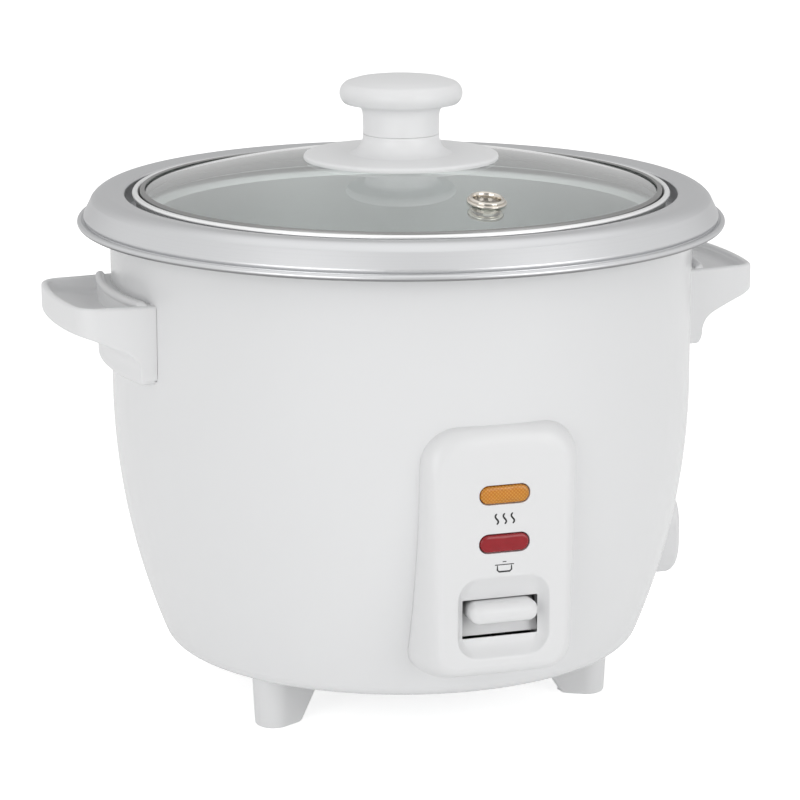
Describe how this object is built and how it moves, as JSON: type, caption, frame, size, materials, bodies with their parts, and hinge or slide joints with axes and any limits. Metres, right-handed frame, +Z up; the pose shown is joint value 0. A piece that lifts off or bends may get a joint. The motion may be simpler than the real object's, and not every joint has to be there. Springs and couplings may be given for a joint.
{
  "type": "rice cooker",
  "caption": "Drum rice cooker with glass lid, lift-out pot, two side handles, front panel with two lamps and a press lever, and a side power inlet.",
  "frame": {"origin": "on the floor under the middle of the drum", "axes": "+Z up, +X through the right handle over the power inlet, the control panel faces -Y"},
  "size_m": [0.234, 0.21, 0.2036],
  "materials": {
    "white_plastic": "smooth white moulding",
    "white_enamel": "glossy white stoved paint on steel",
    "satin_ring": "satin silver, fine circular grain",
    "plated_sheet": "zinc plated sheet",
    "steel_parts": "zinc plated",
    "spring_steel": "drawn wire",
    "amber_lens": "clear amber with a diamond pattern",
    "red_lens": "clear red, smooth",
    "lamp_glass": "small neon bulb",
    "black_plastic": "moulded",
    "red_plastic": "moulded",
    "brass_pins": "turned",
    "cast_aluminium": "cast, machined top",
    "element_sheath": "heat-darkened",
    "pot_aluminium": "satin",
    "ferrite": "pressed ferrite",
    "thermostat_ceramic": "unglazed",
    "brown_wire": "silicone sleeve",
    "blue_wire": "silicone sleeve",
    "grey_wire": "glass-braid sleeve",
    "lid_glass": "clear tempered glass",
    "lid_steel": "bright rolled band",
    "nickel": "polished nickel",
    "silicone": "translucent"
  },
  "bodies": {
    "cooker": {"foot_left": "white_plastic", "foot_right": "white_plastic", "foot_rear": "white_plastic", "handle_left": "white_plastic", "handle_right": "white_plastic", "control_panel": "white_plastic", "inlet_housing": "white_plastic", "outer_shell": "white_enamel", "rim_ring": "satin_ring", "heat_shield": "plated_sheet", "base_cover": "plated_sheet", "switch_bracket": "plated_sheet", "pivot_bracket": "plated_sheet", "sensor_sleeve": "plated_sheet", "fuse_clip": "plated_sheet", "foot_screws": "steel_parts", "handle_screws": "steel_parts", "panel_screws": "steel_parts", "inlet_screws": "steel_parts", "plate_screws": "steel_parts", "lever_pin": "steel_parts", "sensor_spring": "spring_steel", "warm_lens": "amber_lens", "cook_lens": "red_lens", "warm_lamp": "lamp_glass", "cook_lamp": "lamp_glass", "switch_body": "black_plastic", "inlet_pins": "brass_pins", "heating_plate": "cast_aluminium", "heater_element": "element_sheath", "warm_thermostat": "thermostat_ceramic", "thermal_fuse": "thermostat_ceramic", "wire_live": "brown_wire", "wire_neutral": "blue_wire", "wire_switch": "grey_wire", "wire_lamps": "grey_wire"},
    "pot": {"inner_pot": "pot_aluminium"},
    "lid": {"lid_glass": "lid_glass", "lid_band": "lid_steel", "vent_eyelet": "nickel", "knob_base": "white_plastic", "knob_grip": "white_plastic", "knob_screw": "steel_parts", "knob_washer": "silicone"},
    "lever": {"switch_lever": "white_plastic", "lever_arm": "steel_parts"},
    "magnet": {"magnet_rod": "steel_parts", "magnet_ring": "ferrite"},
    "sensor": {"sensor_cap": "pot_aluminium", "ferrite_ring": "ferrite", "release_spring": "spring_steel"},
    "plunger": {"switch_plunger": "red_plastic"}
  },
  "joints": [
    {"name": "pot_lift", "type": "slide", "parent": "cooker", "child": "pot", "axis": [0, 0, 1], "range_m": [0, 0.15]},
    {"name": "lid_lift", "type": "slide", "parent": "pot", "child": "lid", "axis": [0, 0, 1], "range_m": [0, 0.08]},
    {"name": "lever_press", "type": "hinge", "parent": "cooker", "child": "lever", "pos_m": [0, -0.05, 0.0288], "axis": [1, 0, 0], "range_deg": [0, 5.7]},
    {"name": "magnet_rise", "type": "slide", "parent": "cooker", "child": "magnet", "axis": [0, 0, 1], "range_m": [0, 0.0052], "deforming": ["release_spring"]},
    {"name": "sensor_press", "type": "slide", "parent": "cooker", "child": "sensor", "axis": [0, 0, 1], "range_m": [-0.0015, 0], "stiffness_N_per_m": 300, "springref_m": 0.004, "deforming": ["sensor_spring"]},
    {"name": "plunger_push", "type": "slide", "parent": "cooker", "child": "plunger", "axis": [0, 0, 1], "range_m": [0, 0.0026]}
  ],
  "couplings": [
    {"joint": "magnet_rise", "follows": "lever_press", "m_per_rad": 0.052},
    {"joint": "plunger_push", "follows": "lever_press", "m_per_rad": 0.0253}
  ]
}
